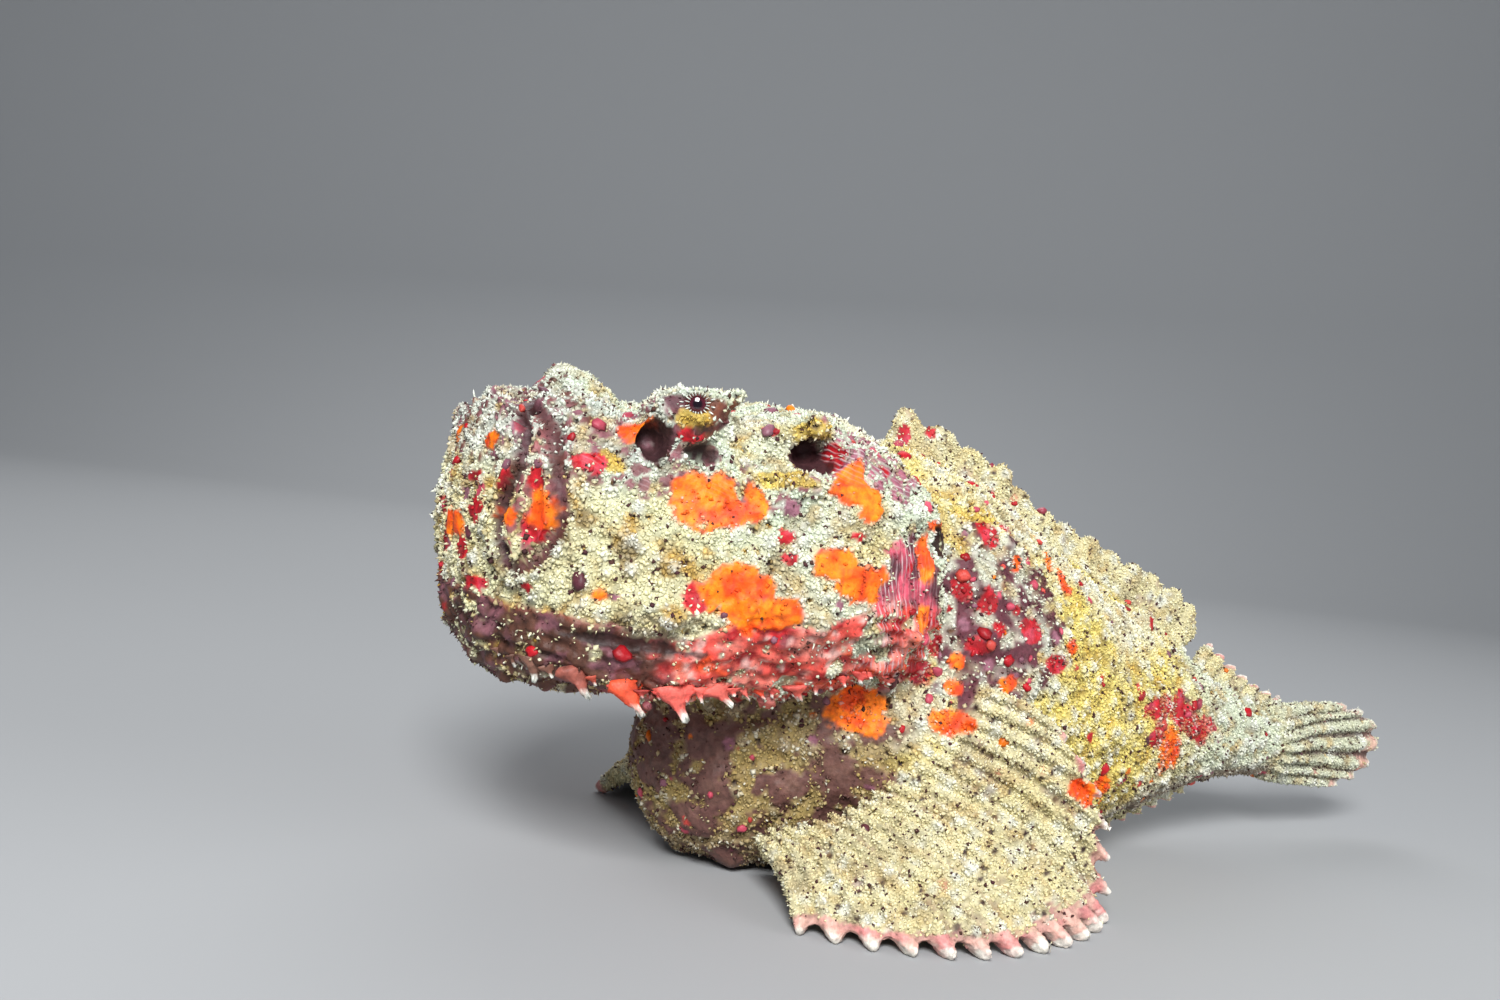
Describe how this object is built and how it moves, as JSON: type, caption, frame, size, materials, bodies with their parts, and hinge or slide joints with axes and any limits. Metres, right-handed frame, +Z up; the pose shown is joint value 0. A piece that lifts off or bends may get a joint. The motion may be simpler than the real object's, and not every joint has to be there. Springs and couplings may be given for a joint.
{
  "type": "reef stonefish",
  "caption": "Life-size reef stonefish resting on its belly: broad warty head with upturned mouth and eye turrets, fringed jaw rim, spiny back and fan-shaped pectoral fins.",
  "frame": {"origin": "middle of the flat of the belly, on the surface that the fish rests on", "axes": "+Z up; the head points to -X and the tail to +X; the fish's left side faces -Y"},
  "size_m": [0.3148, 0.1568, 0.1175],
  "materials": {
    "head_skin": "matt, crusted, cream with pale green",
    "lip_skin": "matt brown-red skin with small warts",
    "body_skin": "matt, granular, yellow-cream with purple-brown and red",
    "fin": "matt, fleshy rays with pale pink tips",
    "eye": "wet gloss, dark pupil"
  },
  "bodies": {
    "root": {"head": "head_skin", "maxilla_left": "lip_skin", "maxilla_right": "lip_skin", "lower_jaw": "head_skin", "eye_left": "eye", "eye_right": "eye", "trunk": "body_skin", "tail": "body_skin", "dorsal_fin_spiny": "fin", "dorsal_fin_soft": "fin", "anal_fin": "fin", "caudal_fin": "fin", "pectoral_fin_left": "fin", "pectoral_fin_right": "fin", "pelvic_fin_left": "fin", "pelvic_fin_right": "fin"}
  },
  "joints": []
}
